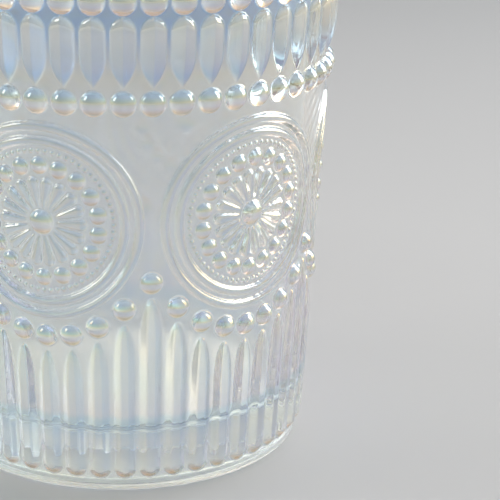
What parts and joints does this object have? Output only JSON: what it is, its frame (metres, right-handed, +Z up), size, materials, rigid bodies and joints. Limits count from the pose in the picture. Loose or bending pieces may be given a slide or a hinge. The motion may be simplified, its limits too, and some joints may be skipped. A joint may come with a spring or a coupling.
{
  "type": "rocks glass",
  "caption": "Pressed-glass rocks glass with a heavy base, a tapered wall with rosette medallions between beaded and fluted bands, and a plain polished rim",
  "frame": {"origin": "on the table, at the middle of the foot", "axes": "+Z up along the axis of the glass, -Y through the middle of a medallion"},
  "size_m": [0.0844, 0.0844, 0.104],
  "materials": {
    "lustre_glass": "clear pressed glass with a faint iridescent lustre on the outside"
  },
  "bodies": {
    "root": {"base": "lustre_glass", "rim": "lustre_glass", "medallion_panel_1": "lustre_glass", "medallion_panel_2": "lustre_glass", "medallion_panel_3": "lustre_glass", "medallion_panel_4": "lustre_glass", "medallion_panel_5": "lustre_glass", "medallion_panel_6": "lustre_glass"}
  },
  "joints": []
}
